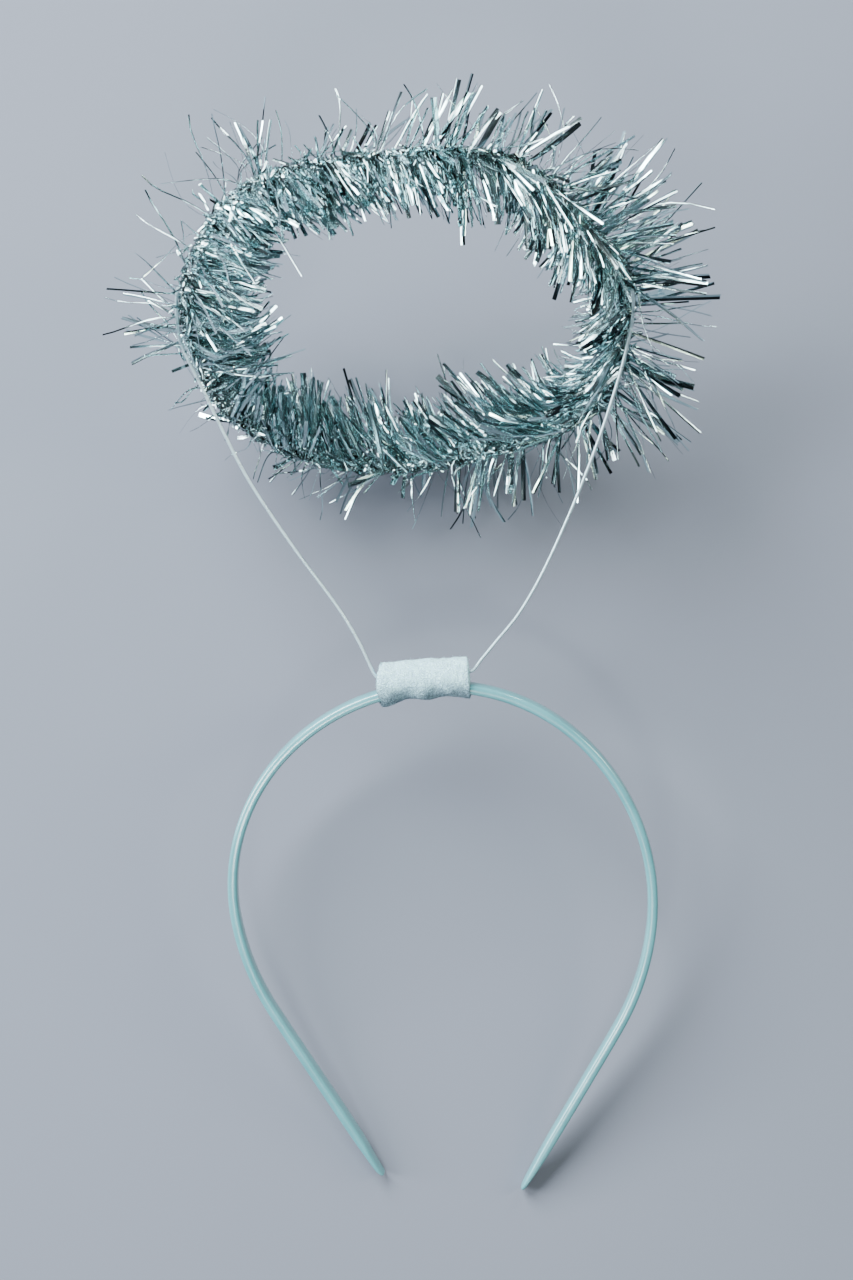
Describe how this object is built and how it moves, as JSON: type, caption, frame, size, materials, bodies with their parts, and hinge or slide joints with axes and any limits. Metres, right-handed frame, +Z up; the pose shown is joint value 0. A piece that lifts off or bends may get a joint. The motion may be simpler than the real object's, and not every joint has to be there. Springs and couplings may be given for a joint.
{
  "type": "halo headband",
  "caption": "Halo headband: a horseshoe band, a wound felt sleeve at its crown, a bent wire rising in a V and a leaning ring of tinsel garland with a curved comb of foil strips.",
  "frame": {"origin": "bottom centre of the box, on the surface that the headpiece lies on", "axes": "+X to the side, right as seen from above; +Y from the band's tips to the halo; +Z up. The headpiece lies on its back, on both tips and the tinsel's low side"},
  "size_m": [0.1798, 0.3292, 0.1333],
  "materials": {
    "band_plastic": "pale aqua, semi-gloss moulded plastic",
    "felt": "off-white wound felt with a fuzzy face",
    "wire_metal": "pale drawn wire",
    "foil": "metallised film strips in a garland, mirror-bright silver with a slight teal cast"
  },
  "bodies": {
    "root": {"headband": "band_plastic", "crown_sleeve": "felt", "support_wire": "wire_metal", "tinsel_ring": "foil"}
  },
  "joints": []
}
